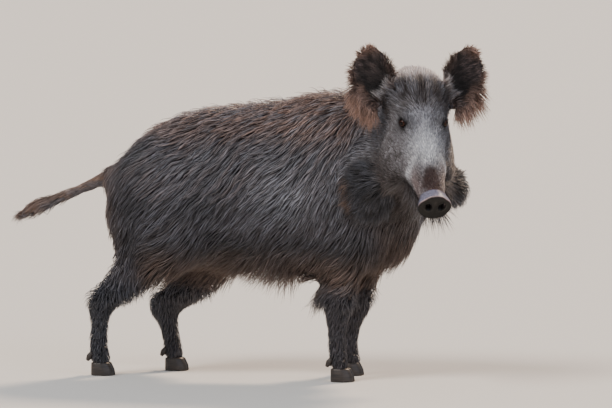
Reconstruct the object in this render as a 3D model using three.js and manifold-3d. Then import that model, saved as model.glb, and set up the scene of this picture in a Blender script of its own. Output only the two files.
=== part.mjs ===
// A life-size wild boar sow, standing, with its head turned to its right.
// Millimetres, +X towards the shoulders, +Y to the animal's left, +Z up. The origin is on the
// ground below the middle of the model's box. The surfaces are the outside of the coat.
import * as THREE from "three";
import { mergeVertices } from "three/addons/utils/BufferGeometryUtils.js";
import Module from "manifold-3d";

const wasm = await Module();
wasm.setup();

const cutGap = 0.3; // between nodes that meet
const V = (x, y, z) => new THREE.Vector3(x, y, z);

// ---- driving dimensions ----
const headHeading = THREE.MathUtils.degToRad(-63.5); // of the head, from +X
const headPitch = THREE.MathUtils.degToRad(46); // of the muzzle, below level
const poll = V(480, -134, 710); // where the skull meets the neck, on the muzzle's own axis
const muzzleEnd = 307; // from the poll to the back of the nose disc
const discThick = 16;
const discHalf = { wide: 45, high: 39 };
const discLean = 0.12; // its front face looks up a little: how far back each unit of height lies
const eyeAt = { forward: 82, side: 54, up: 61 };
const eyeRadius = 12;
const earLong = 166;
const earRings = 9;
const hoofHigh = 36;
const clawLong = 62;
const clawWide = 27;

const feet = {
  foreleg_right: { x: 265, y: -84 },
  foreleg_left: { x: 248, y: 84 },
  hindleg_right: { x: -400, y: -88 },
  hindleg_left: { x: -246, y: 88 },
};

const colours = {
  coat: 0x2f2825,
  face: 0x6e6a6a,
  ear: 0x241c19,
  hoof: 0x1c1816,
  nose: 0x2c2526,
  eye: 0x1a0f0a,
};

// ---- the head's own frame: forward along the muzzle, left, up ----
const headFrame = new THREE.Matrix4()
  .makeRotationZ(headHeading)
  .multiply(new THREE.Matrix4().makeRotationY(headPitch))
  .setPosition(poll);
const onHead = (forward, left, up) => V(forward, left, up).applyMatrix4(headFrame);
const headAxis = (x, y, z) => V(x, y, z).transformDirection(headFrame);
const headSides = [headAxis(1, 0, 0), headAxis(0, 1, 0), headAxis(0, 0, 1)];
const level = [V(1, 0, 0), V(0, 1, 0), V(0, 0, 1)];

// ---- the field: a distance that is negative inside the flesh and coat ----
// How far a point is from an ellipsoid, from its offset along the half axes.
function fromEllipsoid(x, y, z, a, b, c) {
  const k0 = Math.hypot(x / a, y / b, z / c);
  const k1 = Math.hypot(x / (a * a), y / (b * b), z / (c * c));
  return k1 < 1e-9 ? -Math.min(a, b, c) : (k0 * (k0 - 1)) / k1;
}

// A rounded mass with half sizes along three sides.
function mass(at, [a, b, c], blend = 60, sides = level) {
  const away = V();
  return {
    blend,
    distance(p) {
      away.subVectors(p, at);
      return fromEllipsoid(away.dot(sides[0]), away.dot(sides[1]), away.dot(sides[2]), a, b, c);
    },
  };
}

// The same mass turned about the left-right axis, nose down by the angle in degrees.
function tilted(degrees) {
  const turn = new THREE.Matrix4().makeRotationY(THREE.MathUtils.degToRad(degrees));
  return level.map((side) => side.clone().transformDirection(turn));
}

// A limb: oval sections on a smooth line. Each station is [point, half width, half depth].
// The width runs along the way across, or level where that is null.
function limb(stations, blend = 40, across = V(0, 1, 0), steps = 4) {
  const line = new THREE.CatmullRomCurve3(stations.map((s) => s[0]), false, "centripetal");
  const count = (stations.length - 1) * steps;
  const rings = [];
  for (let i = 0; i <= count; i++) {
    const t = i / count;
    const at = t * (stations.length - 1);
    const low = Math.min(Math.floor(at), stations.length - 2);
    const share = at - low;
    const ease = share * share * (3 - 2 * share) * 0.5 + share * 0.5;
    rings.push({
      at: line.getPoint(t),
      wide: THREE.MathUtils.lerp(stations[low][1], stations[low + 1][1], ease),
      deep: THREE.MathUtils.lerp(stations[low][2], stations[low + 1][2], ease),
    });
  }
  const parts = rings.slice(1).map((end, i) => {
    const start = rings[i];
    const forward = V().subVectors(end.at, start.at);
    const long = forward.length();
    forward.normalize();
    const side = across ? across.clone() : V().crossVectors(V(0, 0, 1), forward);
    side.addScaledVector(forward, -side.dot(forward)).normalize();
    return { start, end, forward, long, side, up: V().crossVectors(forward, side) };
  });
  const away = V();
  return {
    blend,
    distance(p) {
      let least = Infinity;
      for (const part of parts) {
        away.subVectors(p, part.start.at);
        const along = away.dot(part.forward);
        const t = Math.min(Math.max(along / part.long, 0), 1);
        const wide = part.start.wide + (part.end.wide - part.start.wide) * t;
        const deep = part.start.deep + (part.end.deep - part.start.deep) * t;
        const past = along - t * part.long;
        const round = Math.min(wide, deep);
        const d = fromEllipsoid(past, away.dot(part.side), away.dot(part.up), round, wide, deep);
        least = Math.min(least, d);
      }
      return least;
    },
  };
}

const bothSides = (make) => [-1, 1].flatMap((side) => make(side));

function trunkMasses() {
  return [
    mass(V(140, 0, 515), [270, 136, 228]),
    mass(V(-50, 0, 502), [270, 134, 216]),
    mass(V(-232, 0, 482), [166, 122, 150]),
    mass(V(225, 0, 655), [190, 74, 100], 70),
    mass(V(-60, 0, 622), [230, 88, 98], 70),
    mass(V(-225, 0, 552), [115, 74, 84], 60),
    mass(V(362, 0, 428), [102, 100, 128], 80),
    ...bothSides((side) => [
      mass(V(262, side * 80, 500), [92, 58, 190], 60, tilted(-14)),
      mass(V(-262, side * 72, 450), [126, 68, 165], 60, tilted(12)),
      mass(V(-175, side * 84, 385), [78, 54, 92], 50, tilted(-25)),
      mass(V(285, side * 80, 350), [56, 42, 95], 50),
      mass(V(206, side * 62, 282), [52, 34, 66], 50, tilted(20)),
    ]),
  ];
}

function neckMasses() {
  return [
    limb(
      [
        [V(250, 0, 555), 128, 205],
        [V(370, -20, 582), 118, 185],
        [V(442, -72, 640), 100, 158],
        [V(480, -124, 705), 80, 116],
      ],
      70,
      null,
    ),
  ];
}

function headMasses() {
  const inHead = (at, size, blend) => mass(onHead(...at), size, blend, headSides);
  const along = (stations, blend) =>
    limb(stations.map(([a, c, wide, deep]) => [onHead(a, 0, c), wide, deep]), blend, headSides[1]);
  return [
    inHead([0, 0, 30], [92, 64, 58], 40),
    inHead([-42, 0, 56], [62, 68, 44], 40),
    along(
      [
        [20, 26, 56, 50],
        [80, 24, 59, 46],
        [140, 17, 56, 40],
        [200, 9, 48, 35],
        [250, 3, 39, 32],
        [302, 0, 34, 31],
      ],
      24,
    ),
    along(
      [
        [15, -60, 58, 50],
        [80, -56, 60, 46],
        [150, -43, 54, 33],
        [205, -33, 42, 24],
        [254, -26, 28, 15],
      ],
      20,
    ),
    ...bothSides((side) => [
      inHead([34, side * 42, -30], [56, 30, 56], 20),
      inHead([58, side * 53, 26], [38, 16, 18], 16),
      inHead([74, side * 45, 48], [42, 12, 24], 12),
      inHead([70, side * 48, 70], [30, 14, 10], 14),
      inHead([114, side * 64, -76], [64, 36, 50], 26),
      inHead([66, side * 62, -44], [62, 30, 54], 26),
      inHead([176, side * 42, -14], [34, 14, 18], 16),
      inHead([112, side * 112, -160], [56, 50, 58], 34),
    ]),
  ];
}

// A leg hangs from the elbow or stifle, through the knee or hock, to the top of its claws.
const legJoints = {
  foreleg_right: { top: V(281, -86, 330), middle: V(260, -85, 192) },
  foreleg_left: { top: V(308, 86, 330), middle: V(268, 85, 190) },
  hindleg_right: { top: V(-212, -92, 362), middle: V(-392, -90, 212) },
  hindleg_left: { top: V(-114, 92, 338), middle: V(-276, 90, 174) },
};

function leg(name) {
  const { x, y } = feet[name];
  const { top, middle } = legJoints[name];
  const front = name.startsWith("fore");
  const wrist = V(x - 5, y, 84);
  const thick = front ? [44, 54, 34, 46, 30, 41] : [54, 92, 38, 61, 28, 48];
  return limb(
    [
      [top, thick[0], thick[1]],
      [V().lerpVectors(top, middle, 0.55), thick[2], thick[3]],
      [middle, thick[4], thick[5]],
      [V().lerpVectors(middle, wrist, 0.55), 23, 27],
      [wrist, 26, 27],
      [V(x, y, 56), 28, 27],
      [V(x + 6, y, 30), 28, 27],
    ],
    30,
  );
}

function tailLimb() {
  return limb(
    [
      [V(-360, 0, 545), 24, 26],
      [V(-410, 0, 528), 17, 20],
      [V(-480, 0, 499), 13, 15],
      [V(-555, 0, 469), 17, 25],
      [V(-606, 0, 451), 16, 29],
      [V(-654, 0, 428), 12, 17],
    ],
    22,
  );
}

const pieces = [
  ...trunkMasses(),
  ...neckMasses(),
  ...headMasses(),
  ...Object.keys(feet).map(leg),
  tailLimb(),
];

function field(p) {
  let d = Infinity;
  for (const piece of pieces) {
    const e = piece.distance(p);
    const near = Math.max(piece.blend - Math.abs(d - e), 0);
    d = Math.min(d, e) - (Number.isFinite(near) ? (near * near) / (4 * piece.blend) : 0);
  }
  return d;
}

function slope(p, step = 0.5) {
  const at = (x, y, z) => field(V(p.x + x, p.y + y, p.z + z));
  return V(
    at(step, 0, 0) - at(-step, 0, 0),
    at(0, step, 0) - at(0, -step, 0),
    at(0, 0, step) - at(0, 0, -step),
  ).divideScalar(2 * step);
}

// ---- the surface of the field inside a box, as a closed mesh of about this facet size ----
const corners = [0, 1, 2, 3, 4, 5, 6, 7].map((c) => [c & 1, (c >> 1) & 1, (c >> 2) & 1]);
const edges = [];
corners.forEach((a, s) =>
  corners.forEach((b, t) => {
    if (s < t && a.filter((v, q) => v !== b[q]).length === 1) edges.push([s, t]);
  }),
);
const cubeFaces = [0, 1, 2].flatMap((axis) => [0, 1].map((side) => (c) => corners[c][axis] === side));

// The crossed edges of a cell, in one list per sheet of surface that passes through it.
function sheetsOf(inside) {
  const crossed = edges.map(([s, t]) => inside[s] !== inside[t]);
  const sheet = edges.map((edge, i) => i);
  const join = (i, j) => {
    const old = sheet[j];
    sheet.forEach((s, q) => {
      if (s === old) sheet[q] = sheet[i];
    });
  };
  for (const onFace of cubeFaces) {
    const ring = edges.map((edge, i) => i).filter((i) => crossed[i] && edges[i].every(onFace));
    if (ring.length === 2) join(ring[0], ring[1]);
    if (ring.length === 4)
      for (const corner of [0, 1, 2, 3, 4, 5, 6, 7].filter((c) => onFace(c) && inside[c])) {
        const pair = ring.filter((i) => edges[i].includes(corner));
        join(pair[0], pair[1]);
      }
  }
  const lists = new Map();
  crossed.forEach((is, i) => {
    if (is) lists.set(sheet[i], [...(lists.get(sheet[i]) ?? []), i]);
  });
  return [...lists.values()];
}

function wrap(low, high, cell) {
  const n = [0, 1, 2].map((i) => Math.ceil((high.getComponent(i) - low.getComponent(i)) / cell) + 1);
  const index = (i, j, k) => (k * n[1] + j) * n[0] + i;
  const atRim = (i, j, k, last) =>
    !i || !j || !k || i === n[0] - last || j === n[1] - last || k === n[2] - last;
  const value = new Float32Array(n[0] * n[1] * n[2]);
  const eachCell = (start, last, use) => {
    for (let k = start; k < n[2] - last; k++)
      for (let j = start; j < n[1] - last; j++) for (let i = start; i < n[0] - last; i++) use(i, j, k);
  };
  eachCell(0, 0, (i, j, k) => {
    const p = V(i, j, k).multiplyScalar(cell).add(low);
    value[index(i, j, k)] = atRim(i, j, k, 1) ? cell : field(p);
  });

  const points = [];
  const pointOf = new Map();
  eachCell(0, 1, (i, j, k) => {
    const v = corners.map(([a, b, c]) => value[index(i + a, j + b, k + c)]);
    const inside = v.map((x) => x < 0);
    if (inside.every((x) => x === inside[0])) return;
    for (const sheet of sheetsOf(inside)) {
      const middle = V();
      for (const e of sheet) {
        const [s, t] = edges[e];
        const share = v[s] / (v[s] - v[t]);
        middle.add(V(...corners[s].map((x, q) => x + (corners[t][q] - x) * share)));
        pointOf.set(index(i, j, k) * 12 + e, points.length);
      }
      middle.divideScalar(sheet.length).add(V(i, j, k)).multiplyScalar(cell).add(low);
      if (!atRim(i, j, k, 2)) settle(middle, cell * 0.4);
      points.push(middle);
    }
  });

  const triangles = [];
  const steps = [[1, 0, 0], [0, 1, 0], [0, 0, 1]];
  eachCell(0, 1, (i, j, k) =>
    steps.forEach((along, axis) => {
      const here = value[index(i, j, k)] < 0;
      if (here === value[index(i + along[0], j + along[1], k + along[2])] < 0) return;
      const [u, v] = [steps[(axis + 1) % 3], steps[(axis + 2) % 3]];
      const ring = [[0, 0], [1, 0], [1, 1], [0, 1]].map(([q, r]) => {
        const shift = u.map((x, w) => q * x + r * v[w]);
        const start = shift[0] + 2 * shift[1] + 4 * shift[2];
        const end = start + along[0] + 2 * along[1] + 4 * along[2];
        const edge = edges.findIndex(([s, t]) => s === start && t === end);
        return pointOf.get(index(i - shift[0], j - shift[1], k - shift[2]) * 12 + edge);
      });
      if (!here) ring.reverse();
      const [a, b, c, d] = ring;
      const ac = points[a].distanceTo(points[c]) < points[b].distanceTo(points[d]);
      triangles.push(...(ac ? [a, b, c, a, c, d] : [a, b, d, b, c, d]));
    }),
  );
  return solidOf(points, triangles);
}

// Moves a point onto the surface, by no more than the limit at a step.
function settle(point, limit) {
  for (let step = 0; step < 2; step++) {
    const d = field(point);
    const g = slope(point);
    point.add(g.multiplyScalar(-d / Math.max(g.lengthSq(), 1e-6)).clampLength(0, limit));
  }
}

// ---- solids ----
function solidOf(points, triangles) {
  const vertProperties = new Float32Array(points.length * 3);
  points.forEach((p, i) => p.toArray(vertProperties, i * 3));
  const triVerts = new Uint32Array(triangles);
  return new wasm.Manifold(new wasm.Mesh({ numProp: 3, vertProperties, triVerts }));
}

function solidFrom(geometry, matrix) {
  const bare = geometry.clone().applyMatrix4(matrix);
  for (const name of ["normal", "uv"]) bare.deleteAttribute(name);
  const merged = mergeVertices(bare, 1e-3);
  return new wasm.Manifold(
    new wasm.Mesh({
      numProp: 3,
      vertProperties: merged.attributes.position.array,
      triVerts: new Uint32Array(merged.index.array),
    }),
  );
}

function box(low, high, matrix) {
  const size = V().subVectors(high, low);
  const place = (matrix ?? new THREE.Matrix4()).clone();
  place.multiply(new THREE.Matrix4().setPosition(V().addVectors(low, high).multiplyScalar(0.5)));
  return solidFrom(new THREE.BoxGeometry(size.x, size.y, size.z), place);
}

function ball(at, sizes, matrix = new THREE.Matrix4(), around = 20) {
  const place = matrix.clone().multiply(new THREE.Matrix4().makeTranslation(...at));
  const sphere = new THREE.SphereGeometry(1, around, Math.round(around * 0.7)).scale(...sizes);
  return solidFrom(sphere, place);
}

// A closed solid through rings of the same number of points, each ring turning left about its run.
function loft(rings) {
  const around = rings[0].length;
  const points = rings.flat();
  const triangles = [];
  for (let i = 0; i + 1 < rings.length; i++)
    for (let j = 0; j < around; j++) {
      const [a, b] = [i * around + j, i * around + ((j + 1) % around)];
      triangles.push(a, b, b + around, a, b + around, a + around);
    }
  for (const last of [false, true]) {
    const ring = last ? rings[rings.length - 1] : rings[0];
    const start = last ? (rings.length - 1) * around : 0;
    points.push(ring.reduce((sum, p) => sum.add(p), V()).divideScalar(around));
    for (let j = 0; j < around; j++) {
      const [a, b] = [start + j, start + ((j + 1) % around)];
      triangles.push(points.length - 1, ...(last ? [a, b] : [b, a]));
    }
  }
  return solidOf(points, triangles);
}

// ---- where the body is parted ----
const far = 2000;

// Everything ahead of an upright cut that leans by the angle in degrees.
function aheadOf(at, heading, lean, grow = 0) {
  const turn = new THREE.Matrix4()
    .makeRotationZ(THREE.MathUtils.degToRad(heading))
    .multiply(new THREE.Matrix4().makeRotationY(THREE.MathUtils.degToRad(lean)))
    .setPosition(at);
  return box(V(-grow, -far, -far), V(far, far, far), turn);
}

// A box in the head's frame, tipped about the poll by the angle in degrees.
function headBox(low, high, tip = 0) {
  const turn = new THREE.Matrix4().makeRotationY(THREE.MathUtils.degToRad(tip));
  return box(low, high, headFrame.clone().multiply(turn));
}

const neckRegion = (grow) => aheadOf(V(325, 0, 560), -12, -22, grow);
const headRegion = (grow) =>
  headBox(V(-far, -150 - grow, -222 - grow), V(far, 150 + grow, far), -10).intersect(
    headBox(V(-84 - grow, -far, -far), V(far, far, far), -38),
  );
const discRegion = (grow) => headBox(V(muzzleEnd - grow, -90, -90), V(far, 90, 90));
const tailRegion = (grow) => aheadOf(V(-400, 0, 0), 180, 0, grow);

// A leg's own space: outside the midline, below a cut that rises outwards.
const legSpan = {
  foreleg_right: [150, 405],
  foreleg_left: [150, 405],
  hindleg_right: [-480, -100],
  hindleg_left: [-480, -60],
};

function legRegion(name, grow) {
  const front = name.startsWith("fore");
  const side = name.endsWith("left") ? 1 : -1;
  const inner = side * (24 - grow);
  const [low, high] = legSpan[name];
  const slab = box(
    V(low - grow, Math.min(inner, side * 260), -10),
    V(high + grow, Math.max(inner, side * 260), 520),
  );
  const rise = THREE.MathUtils.degToRad(front ? 48 : 46);
  const start = (front ? 288 : 312) + grow / Math.cos(rise);
  const turn = new THREE.Matrix4().makeRotationX(side * rise).setPosition(V(0, side * 24, start));
  return slab.subtract(box(V(-far, -far, 0), V(far, far, far), turn));
}

// ---- the nodes ----
const eyes = { right: -1, left: 1 };
const eyeBall = (side, radius) =>
  ball([eyeAt.forward, side * eyeAt.side, eyeAt.up], [radius, radius, radius], headFrame, 12);

const largest = (solid) => solid.decompose().sort((a, b) => b.volume() - a.volume())[0];

const barrel = wrap(V(-470, -400, 150), V(800, 230, 900), 42);

function withoutLegs(solid) {
  for (const name in feet) solid = solid.subtract(legRegion(name, cutGap));
  return largest(solid);
}

const trunk = () => withoutLegs(barrel.subtract(neckRegion(cutGap)).subtract(tailRegion(cutGap)));
const neck = () => withoutLegs(barrel.intersect(neckRegion(0)).subtract(headRegion(cutGap)));

function head() {
  let solid = wrap(V(270, -460, 340), V(760, 100, 900), 19.5);
  solid = solid.intersect(headRegion(0)).intersect(neckRegion(0));
  solid = solid.subtract(discRegion(cutGap));
  for (const side of Object.values(eyes)) {
    const socket = grown(ear(side, cutGap).intersect(solid).hull(), 2.5 * cutGap);
    solid = solid.subtract(eyeBall(side, eyeRadius + cutGap)).subtract(socket);
  }
  return largest(solid);
}

// The rounded rim of the nose: flat in front, wider than it is high, its lower edge drawn in.
function noseDisc() {
  const rings = [
    [0, 0.8],
    [3, 0.97],
    [discThick * 0.6, 1],
    [discThick, 0.9],
  ].map(([forward, size]) =>
    Array.from({ length: 20 }, (unused, i) => {
      const turn = (i / 20) * 2 * Math.PI;
      const [c, s] = [Math.cos(turn), Math.sin(turn)];
      const wide = discHalf.wide * size * Math.sign(c) * Math.abs(c) ** 0.85 * (1 - 0.12 * Math.max(-s, 0));
      const high = discHalf.high * size * Math.sign(s) * Math.abs(s) ** 0.9;
      return onHead(muzzleEnd + forward * (1 - (discLean * high) / discThick), wide, 3 + high);
    }),
  );
  let solid = loft(rings);
  for (const side of [-1, 1])
    solid = solid.subtract(ball([muzzleEnd + discThick, side * 17, 5], [11, 8, 11], headFrame, 8));
  return solid;
}

// An ear: a funnel at its root that opens into a cupped, round-tipped leaf, hollow side ahead.
function ear(side, grow = 0) {
  const [lean, turned] = side > 0 ? [0.37, 0.1] : [0.29, 0.34];
  const root = onHead(-10, side * 80, 36);
  const up = headAxis(-0.64, side * lean, 0.68).normalize();
  const outwards = headAxis(0, side, 0);
  const open = headAxis(0.7, side * turned, 0.35);
  const facing = open.addScaledVector(up, -open.dot(up)).normalize();
  const across = V().crossVectors(up, facing).multiplyScalar(side);
  const rings = [];
  for (let i = 0; i <= earRings; i++) {
    const t = 1 - (1 - i / earRings) ** 1.3; // closer together towards the round tip
    const root3 = Math.max(1 - t / 0.4, 0) ** 2;
    const half = 51 * Math.max(1 - Math.abs((t - 0.46) / 0.54) ** 2.6, 0.03) ** 0.6 * (1 - 0.3 * root3);
    const cup = 17 + 8 * (1 - t) - 8 * root3;
    const thick = 12 - 4 * t;
    const at = root.clone().addScaledVector(up, earLong * t - 12 + (i ? grow : -grow));
    at.addScaledVector(facing, 14 * t * t - 10 * root3);
    at.addScaledVector(outwards, 12 * Math.sin(Math.PI * t));
    const arc = (turn, out) => {
      const slant = V(cup * Math.sin(turn), -half * Math.cos(turn), 0).setLength(out);
      return at
        .clone()
        .addScaledVector(across, half * Math.sin(turn) + slant.x)
        .addScaledVector(facing, cup * (1 - Math.cos(turn)) + slant.y);
    };
    const widest = 1.25 + 0.85 * root3;
    const turns = [-1, -0.72, -0.38, 0, 0.38, 0.72, 1].map((share) => share * widest);
    turns[0] -= (2 * grow) / half;
    turns[6] += (2 * grow) / half;
    const back = turns.map((turn) => arc(turn, thick + grow));
    const front = turns.reverse().map((turn) => arc(turn, -grow));
    rings.push(side < 0 ? [...back, ...front] : [...front.reverse(), ...back.reverse()]);
  }
  return loft(rings);
}

// A solid made larger about its middle, by the margin at each side of its box.
function grown(solid, margin) {
  const { min, max } = solid.boundingBox();
  const at = min.map((low, i) => (low + max[i]) / 2);
  const factor = min.map((low, i) => 1 + (2 * margin) / (max[i] - low));
  return solid.translate(at.map((x) => -x)).scale(factor).translate(at);
}

// One of the two claws of a foot; its sole lies on the ground.
function claw(name, which) {
  const { x, y } = feet[name];
  const outline = [
    [1, -0.6],
    [0.75, 0.35],
    [0.2, 1],
    [-0.6, 1],
    [-1, 0.4],
    [-0.95, -0.9],
    [-0.1, -1],
    [0.7, -1],
  ];
  const levels = [
    [0, 1, 0],
    [hoofHigh * 0.45, 0.96, -1],
    [hoofHigh, 0.8, -6],
  ];
  const rings = levels.map(([z, size, shift]) =>
    outline.map(([along, out]) =>
      V(
        x + 10 + shift + (along * clawLong * size) / 2,
        y + which * (clawWide / 2 + 1.2 + (out * clawWide * (out < 0 ? 1 : size)) / 2),
        z,
      ),
    ),
  );
  return loft(which > 0 ? rings : rings.map((ring) => ring.reverse()));
}

// One of the two small claws behind the foot, pointing down and back.
function dewclaw(name, which, grow = 0) {
  const { x, y } = feet[name];
  const turn = new THREE.Matrix4().makeRotationY(THREE.MathUtils.degToRad(30));
  turn.setPosition(V(x - 25, y + which * 17, 52));
  return ball([0, 0, 0], [9 + grow, 8 + grow, 17 + grow], turn, 6);
}

function legSolid(name) {
  const { x, y } = feet[name];
  const [low, high] = legSpan[name];
  const side = Math.sign(y);
  const below = Math.min(side * 5, side * 230);
  let solid = wrap(V(low - 60, below, 10), V(high + 60, below + 225, 540), 29.6);
  solid = solid.intersect(legRegion(name, 0));
  solid = solid.subtract(box(V(-far, -far, -far), V(far, far, hoofHigh + cutGap)));
  for (const which of [-1, 1]) solid = solid.subtract(dewclaw(name, which, cutGap));
  return largest(solid);
}

const group = new THREE.Group();
function add(name, solid, colour, roughness = 0.8) {
  const { numProp, vertProperties, triVerts } = solid.getMesh();
  const positions = vertProperties.filter((value, i) => i % numProp < 3);
  const geometry = new THREE.BufferGeometry();
  geometry.setAttribute("position", new THREE.BufferAttribute(positions, 3));
  geometry.setIndex(new THREE.BufferAttribute(triVerts, 1));
  geometry.computeVertexNormals();
  const finish = new THREE.MeshStandardMaterial({ color: colour, roughness, metalness: 0 });
  const mesh = new THREE.Mesh(geometry, finish);
  mesh.name = name;
  group.add(mesh);
}

add("trunk", trunk(), colours.coat);
add("neck", neck(), colours.coat);
add("head", head(), colours.face);
add("tail", largest(wrap(V(-720, -60, 370), V(-360, 60, 600), 18).intersect(tailRegion(0))), colours.coat);
add("nose_disc", noseDisc(), colours.nose, 0.4);
for (const [word, side] of Object.entries(eyes)) {
  add(`ear_${word}`, ear(side), colours.ear);
  add(`eye_${word}`, eyeBall(side, eyeRadius), colours.eye, 0.1);
}
for (const name in feet) {
  add(name, legSolid(name), colours.coat);
  for (const [word, which] of Object.entries({ right: -1, left: 1 })) {
    add(`${name}_claw_${word}`, claw(name, which), colours.hoof, 0.5);
    add(`${name}_dewclaw_${word}`, dewclaw(name, which), colours.hoof, 0.5);
  }
}

// The ground point below the middle of the box becomes the origin.
const extent = new THREE.Box3().setFromObject(group);
const middle = extent.getCenter(V());
group.position.set(-middle.x, -middle.y, -extent.min.z);

export default group;
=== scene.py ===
import math

import bmesh
import bpy
import numpy as np
from mathutils import Matrix, Vector
from mathutils.bvhtree import BVHTree
from mathutils.kdtree import KDTree


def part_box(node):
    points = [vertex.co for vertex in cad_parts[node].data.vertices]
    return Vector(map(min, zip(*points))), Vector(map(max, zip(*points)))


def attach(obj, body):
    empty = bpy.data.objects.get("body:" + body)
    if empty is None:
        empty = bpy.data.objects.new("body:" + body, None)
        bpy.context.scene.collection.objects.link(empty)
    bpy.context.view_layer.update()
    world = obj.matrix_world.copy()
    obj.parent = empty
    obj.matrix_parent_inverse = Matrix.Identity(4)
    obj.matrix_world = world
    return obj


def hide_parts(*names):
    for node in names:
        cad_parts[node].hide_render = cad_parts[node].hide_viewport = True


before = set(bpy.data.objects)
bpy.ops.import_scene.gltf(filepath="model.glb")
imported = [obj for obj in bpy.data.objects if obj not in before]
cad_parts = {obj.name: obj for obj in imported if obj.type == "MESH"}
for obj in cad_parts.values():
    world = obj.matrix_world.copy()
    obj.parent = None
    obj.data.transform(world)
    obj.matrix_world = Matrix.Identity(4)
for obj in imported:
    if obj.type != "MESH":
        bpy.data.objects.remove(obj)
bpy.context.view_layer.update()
rng = np.random.default_rng(7)

legNames = ["foreleg_right", "foreleg_left", "hindleg_right", "hindleg_left"]
fleshNames = ["trunk", "neck", "head", "tail", "nose_disc", "ear_right", "ear_left", *legNames]


def linear(code):
    channels = [int(code[i : i + 2], 16) / 255 for i in (1, 3, 5)]
    return np.array([c / 12.92 if c <= 0.04045 else ((c + 0.055) / 1.055) ** 2.4 for c in channels])


def unit(v):
    return v / np.maximum(np.linalg.norm(v, axis=-1, keepdims=True), 1e-12)


def smooth(edge0, edge1, x):
    t = np.clip((x - edge0) / (edge1 - edge0), 0, 1)
    return t * t * (3 - 2 * t)


def bump(value, middle, half):
    return np.exp(-(((value - middle) / half) ** 2))


def band(a, b, c, d, x):
    # rises from 0 to 1 between a and b, and falls again between c and d
    return smooth(a, b, x) * smooth(d, c, x)


def mix(first, second, share):
    return first * (1 - share) + second * share


def middle(node):
    low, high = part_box(node)
    return np.array((low + high) / 2)


# the head's frame: forward along the muzzle, left, up
headPose = {"turned": -63.5, "lowered": 46}  # degrees
headTurn = np.array(
    Matrix.Rotation(math.radians(headPose["turned"]), 3, "Z")
    @ Matrix.Rotation(math.radians(headPose["lowered"]), 3, "Y")
)
eyeCentres = {side: middle(f"eye_{side}") for side in ("right", "left")}
eyeRadius = 0.012
poll = (eyeCentres["right"] + eyeCentres["left"]) / 2 - headTurn @ np.array([0.082, 0, 0.061])
discFront = 0.307 + 0.016  # the head's origin to the disc, and the disc's thickness


def toHead(points):
    return (points - poll) @ headTurn


def fromHead(points):
    return points @ headTurn.T + poll


headAxes = headTurn.T  # rows: forward, left, up

# where things are on the body, as soft shares from 0 to 1
groundOrigin = poll - np.array([0.480, -0.134, 0.710])  # the trunk's midline, at the ground


def onBody(points):
    return points - groundOrigin


def headPart(points):
    # 1 on the head, falling to 0 on the neck behind the ears and jaws
    forward, left, up = toHead(points).T
    ahead = forward * math.cos(math.radians(38)) + up * math.sin(math.radians(38))
    side = smooth(0.17, 0.13, np.abs(left))
    return smooth(-0.10, -0.02, ahead) * side * smooth(-0.25, -0.20, up)


earForm = {
    "long": 0.166,
    "half": 0.051,  # of its width
    "bow": 0.012,  # how far its middle stands out
    "poses": ((1, 0.37, 0.1), (-1, 0.29, 0.34)),  # side, lean outwards, turn of its opening
}
ears = []
for side, lean, turned in earForm["poses"]:
    upward = unit(headTurn @ np.array([-0.64, side * lean, 0.68]))
    facing = headTurn @ unit(np.array([0.7, side * turned, 0.35]))
    facing = unit(facing - upward * (facing @ upward))
    across = np.cross(upward, facing) * side
    root = fromHead(np.array([-0.010, side * 0.080, 0.036]))
    outward = headTurn @ np.array([0, side, 0])
    ears.append(
        {"side": side, "root": root, "up": upward, "facing": facing, "across": across, "out": outward}
    )


def onEar(points, ear):
    # along the ear from 0 to 1, across it from -1 to 1 at its widest, and ahead of it in metres
    away = points - ear["root"]
    along = (away @ ear["up"] + 0.012) / earForm["long"]
    bow = earForm["bow"] * np.sin(np.pi * np.clip(along, 0, 1))
    away = away - ear["out"] * bow[..., None]
    return along, away @ ear["across"] / earForm["half"], away @ ear["facing"]


def earShare(points, ear):
    along, over, ahead = onEar(points, ear)
    _, left, up = toHead(points).T
    clear = smooth(0.094, 0.108, np.abs(left)) * smooth(-0.04, -0.02, up)  # well outside the head
    near = np.maximum(smooth(0.08, 0.3, along), clear * (along > -0.15))
    near = near * (along < 1.2) * (np.abs(over) < 1.5) * (np.abs(ahead - 0.012) < 0.055)
    outside = smooth(0.062, 0.086, np.hypot(left, np.minimum(up - 0.03, 0.0)))
    outside = outside * (np.sign(left) == ear["side"])
    above = smooth(0.085, 0.11, np.hypot(left, up - 0.03))
    return near * np.maximum(outside, above)


def earPart(points):
    return np.maximum(*[earShare(points, ear) for ear in ears])


# the middles of the long hair below the two cheeks, right and left, in the head's frame
ruffMiddles = np.array([[0.116, -0.104, -0.155], [0.114, 0.114, -0.160]])
ruffHalf = np.array([0.058, 0.054, 0.060])


def ruffPart(points):
    head = toHead(points)
    away = (head - ruffMiddles[(head[:, 1] > 0).astype(int)]) / ruffHalf
    return smooth(1.22, 0.90, np.linalg.norm(away, axis=1))


def elbowPart(points):
    # the long hair that hangs behind the elbow
    x, _, z = onBody(points).T
    return smooth(1.2, 0.5, np.hypot((x - 0.188) / 0.062, (z - 0.262) / 0.052)) * (z > 0.19)


def legPart(points):
    # 1 below the elbow and stifle, 0 on the trunk
    x, _, z = onBody(points).T
    return smooth(0.30, 0.22, z) * (np.abs(x) < 0.5)


def aboveTail(x, z):
    # the height over the tail's own line
    return 0.929 * (z - 0.545) - 0.370 * (x + 0.36)


def tailPart(points):
    x, y, z = onBody(points).T
    off = np.hypot(y, aboveTail(x, z))
    return smooth(-0.36, -0.395, x) * smooth(0.060, 0.040, off)


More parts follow.
